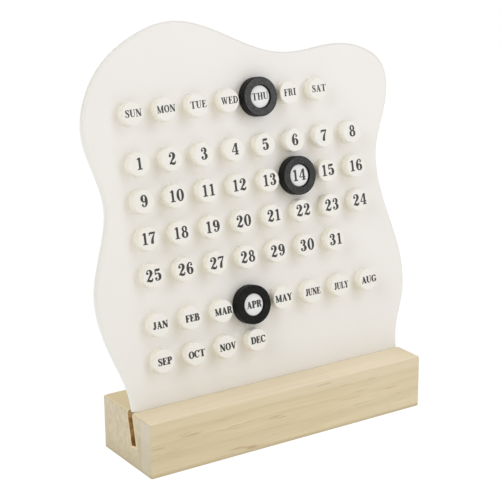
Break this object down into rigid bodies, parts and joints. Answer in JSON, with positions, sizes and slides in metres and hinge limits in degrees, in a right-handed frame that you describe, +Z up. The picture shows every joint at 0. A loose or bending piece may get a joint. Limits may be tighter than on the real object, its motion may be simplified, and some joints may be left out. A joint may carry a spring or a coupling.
{
  "type": "perpetual desk calendar",
  "caption": "Perpetual desk calendar: a wavy board of labelled pegs leans in a slotted pine base, and loose rings mark the weekday, the date and the month.",
  "frame": {"origin": "centre of the base block's underside, where the calendar rests on the desk", "axes": "+Z is up, -Y is the front that is read, +X runs along the base to the reader's right"},
  "size_m": [0.2268, 0.071, 0.2548],
  "materials": {
    "pine": "sanded, unlacquered pine",
    "board_acrylic": "cream acrylic, satin, with polished edges",
    "peg_cream": "cream plastic with printed face",
    "ring_black": "matte black"
  },
  "bodies": {
    "base": {"base_block": "pine"},
    "board_with_pegs": {"board": "board_acrylic", "peg_sun": "peg_cream", "peg_mon": "peg_cream", "peg_tue": "peg_cream", "peg_wed": "peg_cream", "peg_thu": "peg_cream", "peg_fri": "peg_cream", "peg_sat": "peg_cream", "peg_day_01": "peg_cream", "peg_day_02": "peg_cream", "peg_day_03": "peg_cream", "peg_day_04": "peg_cream", "peg_day_05": "peg_cream", "peg_day_06": "peg_cream", "peg_day_07": "peg_cream", "peg_day_08": "peg_cream", "peg_day_09": "peg_cream", "peg_day_10": "peg_cream", "peg_day_11": "peg_cream", "peg_day_12": "peg_cream", "peg_day_13": "peg_cream", "peg_day_14": "peg_cream", "peg_day_15": "peg_cream", "peg_day_16": "peg_cream", "peg_day_17": "peg_cream", "peg_day_18": "peg_cream", "peg_day_19": "peg_cream", "peg_day_20": "peg_cream", "peg_day_21": "peg_cream", "peg_day_22": "peg_cream", "peg_day_23": "peg_cream", "peg_day_24": "peg_cream", "peg_day_25": "peg_cream", "peg_day_26": "peg_cream", "peg_day_27": "peg_cream", "peg_day_28": "peg_cream", "peg_day_29": "peg_cream", "peg_day_30": "peg_cream", "peg_day_31": "peg_cream", "peg_jan": "peg_cream", "peg_feb": "peg_cream", "peg_mar": "peg_cream", "peg_apr": "peg_cream", "peg_may": "peg_cream", "peg_june": "peg_cream", "peg_july": "peg_cream", "peg_aug": "peg_cream", "peg_sep": "peg_cream", "peg_oct": "peg_cream", "peg_nov": "peg_cream", "peg_dec": "peg_cream"},
    "weekday_ring": {"ring_weekday": "ring_black"},
    "date_ring": {"ring_date": "ring_black"},
    "month_ring": {"ring_month": "ring_black"}
  },
  "joints": [
    {"name": "board_lift", "type": "slide", "parent": "base", "child": "board_with_pegs", "axis": [0, 0.1994, 0.9799], "range_m": [0, 0.02]},
    {"name": "weekday_ring_pull", "type": "slide", "parent": "board_with_pegs", "child": "weekday_ring", "axis": [0, -0.9799, 0.1994], "range_m": [0, 0.008]},
    {"name": "date_ring_pull", "type": "slide", "parent": "board_with_pegs", "child": "date_ring", "axis": [0, -0.9799, 0.1994], "range_m": [0, 0.008]},
    {"name": "month_ring_pull", "type": "slide", "parent": "board_with_pegs", "child": "month_ring", "axis": [0, -0.9799, 0.1994], "range_m": [0, 0.008]}
  ]
}
